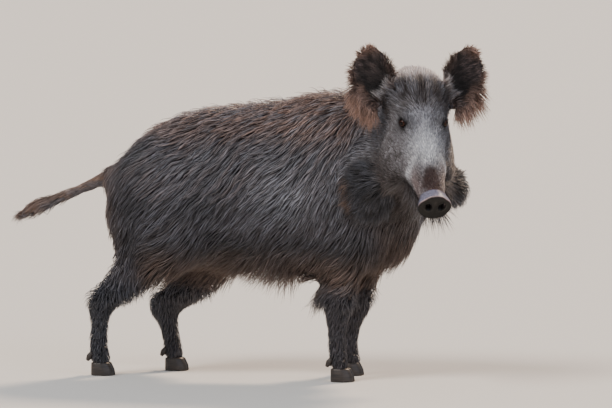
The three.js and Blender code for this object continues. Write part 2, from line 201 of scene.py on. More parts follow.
depths = {  # of the skin below the tips of the coat
    "flank": 0.017,
    "back": 0.009,  # added along the back
    "belly": 0.003,  # added below
    "elbow": 0.036,
    "leg": 0.0045,
    "face": 0.010,
    "muzzle": 0.0065,  # taken off along the muzzle
    "disc": 0.003,  # taken off again at the disc
    "jaw": 0.006,  # added under the jaw
    "ruff": 0.020,
    "ear": 0.0018,
    "tail": 0.0025,
    "tuft": 0.009,  # added at the tail's tip
}


def coatDepth(points):
    x, _, z = onBody(points).T
    depth = depths["flank"] + depths["back"] * smooth(0.52, 0.72, z)
    depth = depth + depths["belly"] * smooth(0.34, 0.29, z)
    depth = mix(depth, depths["elbow"], elbowPart(points))
    depth = mix(depth, depths["leg"], smooth(0.24, 0.19, z))
    forward, _, up = toHead(points).T
    face = depths["face"] - depths["muzzle"] * smooth(0.0, 0.10, forward)
    face = face - depths["disc"] * smooth(0.27, 0.29, forward)
    face = face + depths["jaw"] * smooth(-0.04, -0.10, up)
    depth = mix(depth, face, headPart(points))
    depth = mix(depth, depths["ruff"], ruffPart(points))
    depth = mix(depth, depths["ear"], earPart(points))
    depth = mix(depth, depths["tail"] + depths["tuft"] * smooth(-0.48, -0.55, x), tailPart(points))
    return depth * smooth(0.034, 0.056, z)


# the skin
hide = {
    "cell": 0.0058,  # of the grid that joins the flesh
    "grow": 0.0007,  # so that neighbouring parts run together
    "rounds": (50, 9, 60, 4),  # of smoothing: the trunk, all of it, the long hair's beds, all again
    "pores": 0.0022,  # apart
    "shortHair": 0.004,  # size of the patches that the hair below the coat makes
}


def fleshMesh():
    # the flesh nodes, each grown by a little so that they run together
    joined = bmesh.new()
    for name in fleshNames:
        part = bmesh.new()
        part.from_mesh(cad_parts[name].data)
        bmesh.ops.remove_doubles(part, verts=part.verts, dist=1e-5)
        part.normal_update()
        for vert, normal in [(v, v.normal.copy()) for v in part.verts]:
            vert.co += normal * hide["grow"]
        scratch = bpy.data.meshes.new("flesh")
        part.to_mesh(scratch)
        part.free()
        joined.from_mesh(scratch)
        bpy.data.meshes.remove(scratch)
    mesh = bpy.data.meshes.new("flesh")
    joined.to_mesh(mesh)
    joined.free()
    return mesh


def remeshed(mesh, cell):
    thing = bpy.data.objects.new("flesh", mesh)
    bpy.context.collection.objects.link(thing)
    modifier = thing.modifiers.new("cells", "REMESH")
    modifier.mode = "VOXEL"
    modifier.voxel_size = cell
    graph = bpy.context.evaluated_depsgraph_get()
    made = bpy.data.meshes.new_from_object(thing.evaluated_get(graph))
    bpy.data.objects.remove(thing)
    return made


def read(things, field, width, kind=float):
    # one row of values for each point, edge, face or corner
    values = np.empty(len(things) * width, kind)
    things.foreach_get(field, values)
    return values.reshape(-1, width)


def readPoints(mesh):
    return read(mesh.vertices, "co", 3)


def readNormals(mesh):
    return read(mesh.vertices, "normal", 3)


def writePoints(mesh, points):
    mesh.vertices.foreach_set("co", points.ravel())
    mesh.update()


def relaxed(points, edges, share, rounds):
    # each point drawn towards the middle of its neighbours, by its share
    count = np.bincount(edges.ravel(), minlength=len(points))[:, None]
    for _ in range(rounds):
        total = np.zeros_like(points)
        for axis in range(3):
            total[:, axis] = np.bincount(edges[:, 0], points[edges[:, 1], axis], len(points))
            total[:, axis] += np.bincount(edges[:, 1], points[edges[:, 0], axis], len(points))
        points = points + (total / count - points) * share[:, None]
    return points


def divide(mesh, chosen):
    # splits the faces whose middles are chosen, once
    shape = bmesh.new()
    shape.from_mesh(mesh)
    middles = np.array([face.calc_center_median() for face in shape.faces])
    faces = [face for face, take in zip(shape.faces, chosen(middles)) if take]
    edges = list({edge for face in faces for edge in face.edges})
    bmesh.ops.subdivide_edges(shape, edges=edges, cuts=1, use_grid_fill=True)
    ngons = [face for face in shape.faces if len(face.verts) > 4]
    bmesh.ops.triangulate(shape, faces=ngons)
    shape.to_mesh(mesh)
    shape.free()


skinMesh = remeshed(fleshMesh(), hide["cell"])
points = readPoints(skinMesh)
edges = read(skinMesh.edges, "vertices", 2, int)
fine = np.maximum.reduce([headPart(points), earPart(points), tailPart(points)])
legs = legPart(points)
foot = smooth(0.075, 0.045, onBody(points)[:, 2])  # the legs keep their ends on the claws
points[:, 2] -= 0.0025 * foot
trunkRounds, firstRounds, bedRounds, lastRounds = hide["rounds"]
points = relaxed(points, edges, 0.5 * (1 - fine) * (1 - 0.6 * legs) * (1 - foot), trunkRounds)
bare = smooth(0.285, 0.300, toHead(points)[:, 0]) * headPart(points)  # the nose disc keeps its edge
ear = earPart(points)
points = relaxed(points, edges, 0.5 * (1 - 0.3 * ear) * (1 - 0.8 * bare) * (1 - foot), firstRounds)
writePoints(skinMesh, points)
points -= readNormals(skinMesh) * coatDepth(points)[:, None]
points = relaxed(points, edges, 0.5 * np.maximum(ruffPart(points), elbowPart(points)), bedRounds)
points = relaxed(points, edges, 0.4 * (1 - 0.5 * ear) * (1 - bare) * (1 - foot), lastRounds)
writePoints(skinMesh, points)


def nearFace(middles):
    forward, left, up = toHead(middles).T
    return (forward > 0.03) & (forward < 0.35) & (np.abs(left) < 0.08) & (np.abs(up - 0.0025) < 0.0825)


def nearDetail(middles):
    forward, left, up = toHead(middles).T
    eyes = [np.linalg.norm(middles - centre, axis=1) < 0.027 for centre in eyeCentres.values()]
    return eyes[0] | eyes[1] | ((forward > 0.275) & (np.hypot(left, up) < 0.06))


# the face is divided finely enough for lids, lips and nostrils
divide(skinMesh, nearFace)
divide(skinMesh, nearDetail)

nose = {
    "half": (0.0445, 0.0385),  # of the disc, across and up
    "lean": 0.12,  # its front looks up a little
    "rise": 0.003,  # of its middle above the muzzle's axis
    "rim": 0.0045,  # radius of its rounded edge
    "neck": 0.79,  # width of the muzzle behind it, of the disc's
    "nostril": (0.0172, 0.004, 0.0078, 0.0098, 0.013),  # out, up, half wide, half high, deep
}


def discEdge(left, up):
    # the disc's radius in a direction; its lower corners are drawn in
    turn = np.arctan2(up / nose["half"][1], left / nose["half"][0])
    c, s = np.cos(turn), np.sin(turn)
    wide = nose["half"][0] * np.sign(c) * np.abs(c) ** 0.85 * (1 - 0.12 * np.maximum(-s, 0))
    edge = np.hypot(wide, nose["half"][1] * np.sign(s) * np.abs(s) ** 0.9)
    roofed = bump(turn, math.radians(48), 0.42) + bump(turn, math.radians(132), 0.42)
    return edge * (1 - 0.10 * roofed)


def shapeNose(points):
    head = toHead(points)
    forward, left, up = head[:, 0].copy(), head[:, 1], head[:, 2] - nose["rise"]
    radius = np.maximum(np.hypot(left, up), 1e-6)
    share = smooth(0.278, 0.296, forward) * (radius < 0.07)
    for _ in range(3):
        edge = discEdge(left, up)
        flare = np.where(up > 0, smooth(0.284, 0.319, forward), smooth(0.297, 0.309, forward))
        edge = edge * (nose["neck"] + (1 - nose["neck"]) * flare)
        out = radius - (edge - nose["rim"])
        ahead = forward + nose["lean"] * up - (discFront - nose["rim"])
        corner = (out > 0) & (ahead > 0)
        away = np.where(corner, np.hypot(out, ahead), np.maximum(out, ahead)) - nose["rim"]
        size = np.maximum(np.hypot(out, ahead), 1e-6)
        outward = np.where(corner, out / size, (out > ahead).astype(float))
        onward = np.where(corner, ahead / size, (out <= ahead).astype(float))
        radius = radius - away * outward * share
        forward = forward - away * onward * share
    turned = np.maximum(np.hypot(left, up), 1e-6)
    left, up = left * radius / turned, up * radius / turned
    front = smooth(discFront - 0.006, discFront - 0.002, forward + nose["lean"] * up)
    out, high, halfWide, halfHigh, deep = nose["nostril"]
    for side in (-1, 1):
        slant = (np.abs(left) - out) * 0.25  # the outer corner lifts
        away = np.hypot((left - side * out) / halfWide, (up - high - slant) / halfHigh)
        forward = forward - deep * smooth(1.25, 0.55, away) * front
        forward = forward + 0.0012 * smooth(1.9, 1.35, away) * smooth(1.05, 1.35, away) * front
    furrowed = bump(left, 0, 0.004) * smooth(0.028, 0.012, np.abs(up)) * front
    forward = forward - 0.0008 * furrowed  # between the nostrils
    wrinkles = band(0.262, 0.285, 0.300, 0.308, forward) * smooth(-0.01, 0.01, up)
    up = up + 0.0006 * np.sin(forward / 0.0046 * 2 * np.pi + 3 * left / 0.04) * wrinkles
    return fromHead(np.stack([forward, left, up + nose["rise"]], axis=1))


lids = {
    "wide": 0.0125,  # half the opening along the face
    "high": 0.0072,  # half the opening up
    "over": 0.0013,  # of the rim above the ball
    "reach": 0.027,  # how far round the eye the skin is drawn up
    "gaze": (0.57, 0.70, 0.43),  # forward, out, up
}
balls = {}  # the eyes as shown, a little inside the solids
for word, side in (("right", -1), ("left", 1)):
    gaze = headTurn @ unit(np.array(lids["gaze"]) * [1, side, 1])
    level = headTurn @ np.array([1, -side * 0.25, 0.10])
    level = unit(level - gaze * (level @ gaze))
    balls[word] = {
        "middle": eyeCentres[word] - gaze * 0.0025,
        "gaze": gaze,
        "level": level,
        "rise": unit(np.cross(gaze, level) * -side),
    }
    if balls[word]["rise"] @ headAxes[2] < 0:
        balls[word]["rise"] *= -1


def shapeLids(points):
    for ball in balls.values():
        away = points - ball["middle"]
        x, y, z = away @ ball["level"], away @ ball["rise"], away @ ball["gaze"]
        apart = np.hypot(x, y)
        near = (apart < lids["reach"] + 0.01) & (z > -0.012)
        y = y + 0.10 * x  # the outer corner sits lower
        opening = np.hypot(x / lids["wide"], y / (lids["high"] * np.where(y > 0, 1.05, 0.9)))
        opening = opening + 0.35 * np.maximum(np.abs(x) / lids["wide"] - 0.75, 0)
        rimRadius = eyeRadius + lids["over"]
        shell = np.sqrt(np.maximum(rimRadius**2 - np.minimum(apart, eyeRadius) ** 2, 0))
        shell = shell - 0.35 * np.maximum(apart - eyeRadius * 0.8, 0)
        draw = smooth(lids["reach"], 0.010, apart) * near
        raised = mix(z, np.maximum(shell, z * 0.75), draw)
        inside = np.sqrt(np.maximum((eyeRadius - 0.0025) ** 2 - apart**2, 0))
        hollow = smooth(1.06, 0.93, opening) * (apart < eyeRadius * 1.15) * near
        target = mix(raised, np.minimum(inside, z + 0.02), hollow)
        fold = band(1.30, 1.55, 1.75, 2.0, opening) * smooth(-0.2, 0.5, y / 0.008)
        under = band(1.45, 1.7, 1.9, 2.2, opening) * smooth(0.1, -0.5, y / 0.008)
        target = target - (0.0011 * fold + 0.0008 * under) * near
        brow = band(0.009, 0.016, 0.018, 0.027, y) * smooth(0.028, 0.012, np.abs(x)) * near
        target = target + 0.0022 * brow
        points = points + ball["gaze"] * (target - z)[:, None] * near[:, None]
    return points


def shapeMouth(points, normals):
    # the closed mouth, a groove from under the disc back along the lower edge of the muzzle
    forward, left, up = toHead(points).T
    line = -0.030 - 0.016 * smooth(0.28, 0.12, forward) + 0.004 * np.sin(forward / 0.05)
    along = band(0.105, 0.13, 0.290, 0.300, forward)
    side = smooth(0.006, 0.014, np.abs(left))
    groove = bump(up, line, 0.0028) * along * side
    lip = bump(up - line, 0.007, 0.005) * along * side
    return points + normals * (0.0012 * lip - 0.0028 * groove)[:, None]


points = shapeNose(readPoints(skinMesh))
writePoints(skinMesh, points)
points = shapeMouth(points, readNormals(skinMesh))
points = shapeLids(points)
writePoints(skinMesh, points)
print("skin", len(points), "points,", len(skinMesh.polygons), "faces")

# markings and painted light: the same colours for the skin and the coat
tone = {
    name: linear(code)
    for name, code in {
        "black": "#110f12",
        "soot": "#292629",
        "bark": "#493a33",
        "slate": "#6e717d",
        "mist": "#a2a6b2",
        "tan": "#b8937a",
        "rust": "#dfb7a6",
        "grey": "#bdbfc7",
        "frost": "#d3d7e2",
        "pale": "#ffffff",
        "umber": "#3a2420",
        "rose": "#b09a98",
        # the disc's front: dark damp leather, painted darker still for the shade on it, as it faces the
        # ground
        "disc": "#070606",
        # painted highlight: the disc's upper rim, lighter and bluer
        "discTop": "#6e6d7e",
        "lid": "#131013",
    }.items()
}


def blend(first, second, share):
    # share: one value for all points, or one for each
    return first + (second - first) * np.asarray(np.clip(share, 0, 1))[..., None]


def ripple(points, wave, seed):
    # a wandering value, mostly between -1 and 1, that turns over in about one wave
    chance = np.random.default_rng(seed)
    total = 0
    for _ in range(6):
        way = unit(chance.normal(size=3)) * 2 * np.pi / wave * chance.uniform(0.6, 1.5)
        total = total + np.sin(points @ way + chance.uniform(0, 2 * np.pi))
    return total / 2.6


def furrow(points):
    # the long ridges of the outer coat, which run down and back and come and go: -1 to 1
    x, _, z = onBody(points).T
    over = 0.72 * x - 0.69 * z + 0.012 * ripple(points, 0.17, 51)
    broken = 0.55 + 0.45 * ripple(points, 0.12, 52)
    return np.sin(over * 2 * np.pi / 0.026) * np.clip(broken, 0, 1)


def bodyTones(points):
    x, _, z = onBody(points).T
    drift = ripple(points, 0.15, 1)
    # painted light and shade: lighter tips on the crests of the coat's ridges, darker tips in the furrows
    # between them
    ridgeLightAndShade = furrow(points)
    root = blend(tone["black"], tone["bark"], 0.30 + 0.2 * drift)
    # painted sheen: lighter, bluer tips on the upper flank for the sky's sheen on the hair
    sheen = smooth(0.36, 0.50, z) * smooth(-0.45, -0.2, x)
    tip = blend(tone["soot"], tone["slate"], 0.40 + 0.32 * sheen + 0.18 * drift + 0.22 * ridgeLightAndShade)
    # painted rim light: warmer, lighter tips along the back, on the high ridges and over the rump
    back = smooth(0.60, 0.74, z + 0.02 * drift)
    rump = smooth(-0.30, -0.44, x) * smooth(0.24, 0.36, z)
    rimLight = np.maximum(0.35 * back + 0.45 * ridgeLightAndShade * smooth(0.45, 0.6, z), 0.75 * rump)
    # more painted sky sheen, in a band along the upper flank
    tip = blend(tip, tone["mist"], 0.28 * bump(z, 0.61, 0.08) * smooth(-0.35, -0.1, x))
    tip = blend(tip, blend(tone["tan"], tone["rose"], 0.6), rimLight)
    # painted rim light: speckled pinkish and bluish tips along the top of the back
    spineRimLight = blend(tone["rust"], tone["mist"], 0.4 + 0.5 * ripple(points, 0.03, 14))
    tip = blend(tip, spineRimLight, 0.85 * smooth(0.63, 0.72, z))
    root = blend(root, tone["bark"], 0.5 * back)
    shoulder = bump(x, 0.17, 0.11) * bump(z, 0.54, 0.08)
    tip = blend(tip, tone["mist"], 0.85 * shoulder)
    neck = smooth(0.28, 0.36, x) * smooth(0.38, 0.50, z)
    steel = blend(tone["slate"], tone["mist"], 0.25)
    tip = blend(tip, steel, 0.85 * neck * smooth(0.78, 0.70, z))
    root = blend(root, tone["soot"], 0.6 * neck)
    throat = smooth(0.35, 0.42, x) * smooth(0.50, 0.40, z)
    warmth = np.clip(0.35 + 0.4 * ripple(points * [1, 1, 0.2], 0.02, 9), 0, 1)
    tip = blend(tip, blend(tone["bark"], tone["tan"], 0.45 * warmth), 0.75 * throat)
    belly = smooth(0.40, 0.30, z) * smooth(-0.32, -0.18, x)
    tip = blend(tip, blend(tone["bark"], tone["tan"], 0.4), 0.75 * belly)
    legs = smooth(0.31, 0.23, z) * (np.abs(x) < 0.48)
    root = blend(root, tone["black"], legs)
    tip = blend(tip, blend(tone["soot"], tone["slate"], 0.7), 0.8 * legs)
    tail = tailPart(points)
    strands = blend(tone["slate"], tone["tan"], 0.15 + 0.5 * ripple(points * [0.4, 1, 1], 0.02, 6))
    tip = blend(tip, strands, 0.8 * tail)
    tip = blend(tip, tone["tan"], 0.6 * tail * smooth(-0.004, 0.012, aboveTail(x, z)))
    root = blend(root, tone["black"], 0.6 * tail)
    return root, tip


def faceTones(points):
    forward, left, up = toHead(points).T
    wide = np.abs(left)
    grain = ripple(points, 0.02, 3)
    stripes = ripple(np.stack([forward * 0.10, left, up * 0.15], axis=1), 0.015, 4)
    top = smooth(-0.015, 0.02, up)
    root = blend(tone["black"], tone["bark"], 0.5 + 0.2 * grain)
    tip = blend(tone["bark"], tone["grey"], 0.50 + 0.2 * grain)
    temple = smooth(0.08, 0.03, forward) * smooth(0.03, 0.0, up)  # behind the cheek, below the ear
    tip = blend(tip, tone["mist"], 0.65 * temple)
    brow = top * bump(wide, 0, 0.056) * band(0.030, 0.070, 0.13, 0.19, forward)
    tip = blend(tip, tone["frost"], 0.62 * brow * (1 + 0.45 * stripes))
    crown = smooth(0.055, 0.015, forward) * top
    streaked = blend(tone["soot"], tone["mist"], 0.38 + 0.75 * stripes)
    tip = blend(tip, streaked, 0.85 * crown)
    # painted rim light: pale pink tips and roots across the top of the head behind the ears
    napeRimLight = smooth(-0.012, -0.042, forward) * top
    napeRimLight = napeRimLight * (0.25 + 0.75 * smooth(-0.120, -0.080, forward))  # fainter down the nape
    tip = blend(tip, blend(tone["rose"], tone["pale"], 0.9), 0.95 * napeRimLight)
    root = blend(root, tone["rose"], 0.8 * napeRimLight)
    patch = top * bump(wide, 0, 0.036) * bump(forward, 0.168, 0.050)
    trail = bump(wide, 0.018 + 0.7 * np.clip(forward - 0.165, 0, 0.05), 0.013)
    trail = trail * band(0.165, 0.185, 0.218, 0.236, forward) * smooth(-0.03, -0.01, up)
    bright = np.clip(np.maximum(1.15 * patch, trail), 0, 1)
    tip = blend(tip, tone["pale"], bright)
    root = blend(root, tone["mist"], 0.75 * bright + 0.35 * brow)
    sides = bump(wide, 0.040, 0.020) * bump(forward, 0.252, 0.042) * smooth(-0.03, 0.0, up)
    tip = blend(tip, tone["rose"], 0.85 * sides)
    edge = 0.014 + 0.009 * smooth(0.215, 0.295, forward)
    wedge = smooth(edge * 1.5, edge * 0.6, wide + 0.002 * grain)
    wedge = wedge * smooth(0.200, 0.232, forward - 0.6 * wide) * top
    root = blend(root, tone["umber"], wedge)
    tip = blend(tip, tone["umber"], 0.9 * wedge)
    jaw = smooth(-0.020, -0.060, up) * smooth(0.05, 0.11, forward)
    tip = blend(tip, tone["bark"], 0.7 * jaw)
    root = blend(root, tone["black"], 0.7 * jaw)
    for ball in balls.values():
        away = points - ball["middle"]
        x, y = away @ ball["level"], away @ ball["rise"]
        ring = smooth(1.9, 1.3, np.hypot(x / lids["wide"], y / lids["high"]))
        ring = ring * (np.abs(away @ ball["gaze"]) < 0.03)
        corner = 0.9 * bump(x, 0.016, 0.011) * bump(y, -0.011, 0.009)
        corner = corner * (np.linalg.norm(away, axis=1) < 0.04)  # the groove below the inner corner
        aside = away - ball["level"] * 0.006 + ball["rise"] * 0.004
        socket = 0.78 * bump(np.linalg.norm(aside, axis=1), 0, 0.030)
        dark = np.maximum.reduce([ring, socket, corner])
        tip = blend(tip, tone["lid"], dark)
        root = blend(root, tone["lid"], dark)
    return root, tip


def markingsAndPaintedLight(points, normals):
    root, tip = bodyTones(points)
    faceRoot, faceTip = faceTones(points)
    head = headPart(points)
    root, tip = blend(root, faceRoot, head), blend(tip, faceTip, head)
    forward, left, up = toHead(points).T
    away = np.stack([forward + 0.065, np.abs(left) - 0.105, up], axis=1)
    behindEar = bump(np.linalg.norm(away, axis=1), 0, 0.045)
    tip = blend(tip, tone["rust"], 0.3 * behindEar)
    ruff = ruffPart(points)
    # painted rim light: tan tips and browner roots along the ruff's outer edge
    outward = np.abs(left) + 0.3 * (-0.16 - up) + 0.008 * ripple(points, 0.02, 10)
    rim = ruff * smooth(0.132, 0.156, outward)
    curls = blend(tone["soot"], tone["slate"], 0.65 + 0.45 * ripple(points, 0.03, 8))
    tip = blend(tip, curls, ruff)
    tip = blend(tip, tone["tan"], 0.65 * rim)
    root = blend(root, blend(tone["black"], tone["bark"], 0.5 * rim), ruff)
    for ear in ears:
        share = earShare(points, ear)
        along, over, _ = onEar(points, ear)
        inner = smooth(0.1, 0.5, normals @ ear["facing"])
        # the ear's edges and tip, which take painted rim light below
        rim = np.maximum(smooth(0.62, 1.0, np.abs(over)), smooth(0.75, 1.0, along))
        # painted shade in the ear's hollow: the inner hair is black at the ear's base and takes its lighter
        # streaks only higher up
        streak = np.clip(0.40 + 0.5 * ripple(points, 0.014, 7), 0, 1)
        strands = blend(tone["black"], tone["rose"], 0.5 * streak * smooth(0.3, 0.8, along))
        shade = blend(tone["bark"], strands, inner)
        root = blend(root, blend(shade, tone["black"], 0.7), share)
        # painted rim light: lighter, pinker tips on the ear's outer side, its lobe, its edges and its tip
        outer = over * np.sign(ear["across"] @ ear["out"])
        warmth = np.maximum(smooth(0, 0.6, outer), smooth(0.7, 0.85, along))
        rimLight = blend(tone["bark"], tone["rust"], 0.35 + 0.65 * warmth)
        lobe = smooth(0.35, 0.70, outer) * smooth(0.52, 0.36, along)
        lobe = np.maximum(lobe, smooth(0.16, 0.08, along))
        end = smooth(0.82, 0.95, along)
        shade = blend(shade, rimLight, np.maximum.reduce([0.7 * rim, 0.9 * lobe, 0.9 * end]))
        tip = blend(tip, shade, share)
    return root, tip


def barePart(points):
    # the hairless end of the muzzle
    forward, left, up = toHead(points).T
    return smooth(0.281, 0.292, forward - 0.004 * (up < 0)) * (np.hypot(left, up) < 0.07)


def skinTones(points, normals):
    root, tip = markingsAndPaintedLight(points, normals)
    shade = blend(root, tip, 0.35)
    forward, _, up = toHead(points).T
    upper = smooth(0.0, 0.024, up)
    back = discFront - forward - nose["lean"] * (up - nose["rise"])  # behind the disc's front
    # painted shade on the disc's front, which faces the ground, and a painted highlight on its upper rim
    leather = blend(tone["disc"], tone["discTop"], upper * smooth(0.001, 0.006, back))
    leather = blend(leather, tone["rose"], 0.8 * upper * bump(back, 0.0035, 0.0016))
    return blend(shade, leather, barePart(points))


def paint(mesh, name, colours):
    layer = mesh.color_attributes.new(name, "FLOAT_COLOR", "POINT")
    opaque = np.concatenate([colours, np.ones((len(colours), 1))], axis=1)
    layer.data.foreach_set("color", opaque.astype("f4").ravel())


def note(mesh, name, values):
    mesh.attributes.new(name, "FLOAT", "POINT").data.foreach_set("value", np.asarray(values, "f4"))


def place(name, mesh, slot, *nodes):
    thing = bpy.data.objects.new(name, mesh)
    bpy.context.collection.objects.link(thing)
    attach(thing, "root")
    if nodes:
        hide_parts(*nodes)
    return thing


points, normals = readPoints(skinMesh), readNormals(skinMesh)
paint(skinMesh, "Tint", skinTones(points, normals))
note(skinMesh, "Bare", np.maximum(barePart(points), 0.6 * smooth(0.3, 0, 1 - earPart(points))))
skinMesh.shade_smooth()
place("skin", skinMesh, "coat", *fleshNames)

# the coat, with lengths in mm. spacing: between tufts; lift: how much of the coat's depth their tips reach;
# stand: how far they rise off the skin, of their length; loose: how little they follow the skin;
# lock and gather: width of a lock and how far its tips meet; wave: how far tufts swing sideways;
# fade: how far along the tuft its tip's colour comes.
traits = ["length", "width", "spacing", "lift", "stand", "loose", "lock", "gather", "wave", "fade"]
growth = {
    "flank": (74, 3.4, 6.5, 0.95, 0.00, 0.05, 20, 0.62, 1.8, 0.8),
    "spine": (64, 2.8, 5.4, 1.15, 0.05, 0.15, 20, 0.55, 1.8, 1.1),
    "belly": (72, 2.2, 6.0, 1.10, 0.28, 0.45, 15, 0.45, 2.0, 0.8),
    "fringe": (84, 1.6, 5.6, 1.10, 0.45, 0.80, 11, 0.35, 3.0, 0.9),
    "thigh": (48, 3.0, 5.4, 1.00, 0.02, 0.06, 18, 0.50, 1.5, 0.8),
    "elbow": (78, 1.9, 4.8, 0.90, 0.22, 0.55, 11, 0.40, 2.5, 0.9),
    "neck": (66, 2.8, 5.8, 0.85, 0.00, 0.05, 14, 0.35, 0.8, 0.8),
    "throat": (72, 2.0, 5.4, 1.00, 0.15, 0.50, 14, 0.45, 2.0, 0.8),
    "leg": (27, 2.4, 3.9, 1.70, 0.06, 0.05, 10, 0.30, 0.5, 0.8),
    "cheek": (34, 2.0, 3.3, 1.15, 0.06, 0.20, 11, 0.35, 1.0, 0.8),
    "crown": (38, 1.7, 2.9, 1.30, 0.22, 0.40, 9, 0.30, 0.8, 1.0),
    "face": (12, 1.8, 2.1, 1.00, 0.04, 0.00, 6, 0.20, 0.3, 0.8),
    "chin": (74, 1.3, 3.8, 1.00, 0.25, 0.90, 7, 0.20, 1.5, 0.8),
    "ruff": (48, 2.0, 3.2, 1.15, 0.12, 0.35, 12, 0.45, 3.5, 1.6),
    "ear": (24, 1.5, 2.6, 1.40, 0.08, 0.30, 7, 0.30, 0.8, 0.8),
    "earRim": (30, 1.3, 1.9, 1.00, 0.60, 0.60, 7, 0.30, 1.5, 1.0),
    "earLobe": (58, 1.5, 1.7, 1.00, 0.30, 0.85, 9, 0.35, 2.0, 0.9),
    "tail": (38, 2.2, 3.6, 1.30, 0.06, 0.14, 12, 0.50, 1.5, 0.8),
    "tuft": (70, 1.8, 2.5, 1.30, 0.16, 0.50, 14, 0.60, 3.0, 0.8),
}
kinds = {  # pieces of the coat: which growth they hold and the straight runs in a tuft
    "trunk_coat": (["flank", "spine", "belly", "fringe", "thigh", "elbow"], 4),
    "neck_coat": (["neck", "throat"], 4),
    "leg_coat": (["leg"], 2),
    "cheek_coat": (["cheek", "crown", "ruff", "chin"], 3),
    "face_coat": (["face"], 2),
    "ear_coat": (["ear", "earRim", "earLobe"], 3),
    "tail_coat": (["tail", "tuft"], 4),
}
growthNames = list(growth)
habits = {
    "stray": 0.07,  # share of tufts that stand out of their lock
    "strayLift": 1.35,
    "smallLock": 0.42,  # width of the locks inside a lock
    "droop": 0.35,
    "patch": 0.003,  # of a tuft on its map
}


def growthShares(points, normals):
    x, y, z = onBody(points).T
    forward, _, up = toHead(points).T
    head = headPart(points)
    upright = normals @ headAxes[2]
    layers = {
        "spine": smooth(0.60, 0.71, z) * smooth(0.10, 0.04, np.abs(y)) * (x < 0.4),
        "thigh": smooth(-0.20, -0.30, x) * smooth(0.50, 0.42, z),
        "belly": smooth(0.36, 0.29, z) * smooth(-0.3, -0.7, normals[:, 2]),
        "fringe": smooth(0.37, 0.33, z) * smooth(-0.3, -0.7, normals[:, 2]) * bump(x, 0.11, 0.09),
        "neck": smooth(0.29, 0.40, x),
        "throat": smooth(0.33, 0.40, x) * smooth(0.46, 0.38, z) * smooth(-0.1, -0.6, normals[:, 2]),
        "leg": legPart(points),
        "elbow": elbowPart(points),
        "cheek": head,
        "crown": head * smooth(0.06, 0.0, forward) * smooth(-0.02, 0.02, up),
        "face": head * smooth(0.02, 0.07, forward + 0.5 * np.minimum(up, 0)) * smooth(-0.09, -0.06, up),
        "chin": head * smooth(0.13, 0.17, forward) * smooth(-0.2, -0.7, upright),
        "ruff": ruffPart(points),
        "tail": tailPart(points),
        "tuft": tailPart(points) * smooth(-0.50, -0.56, x),
    }
    for ear in ears:
        share = earShare(points, ear)
        along, over, _ = onEar(points, ear)
        rim = smooth(0.74, 0.9, np.abs(over) + 0.12 * np.abs(along - 0.5))
        rim = np.maximum(rim, smooth(0.86, 0.95, along))
        layers["ear"] = np.maximum(layers.get("ear", 0), share)
        layers["earRim"] = np.maximum(layers.get("earRim", 0), share * rim)
        outer = over * np.sign(ear["across"] @ ear["out"])
        lobe = smooth(0.42, 0.70, outer) * smooth(0.54, 0.40, along)
        lobe = np.maximum(lobe, smooth(0.18, 0.10, along) * smooth(-0.2, 0.2, outer))
        layers["earLobe"] = np.maximum(layers.get("earLobe", 0), share * lobe)
    shares = np.zeros((len(points), len(growthNames)))
    shares[:, 0] = 1
    for name, share in layers.items():
        shares *= (1 - share)[:, None]
        shares[:, growthNames.index(name)] += share
    return shares


def grown(shares, what, scale=1.0):
    column = traits.index(what)
    return shares @ np.array([float(growth[name][column]) for name in growthNames]) * scale


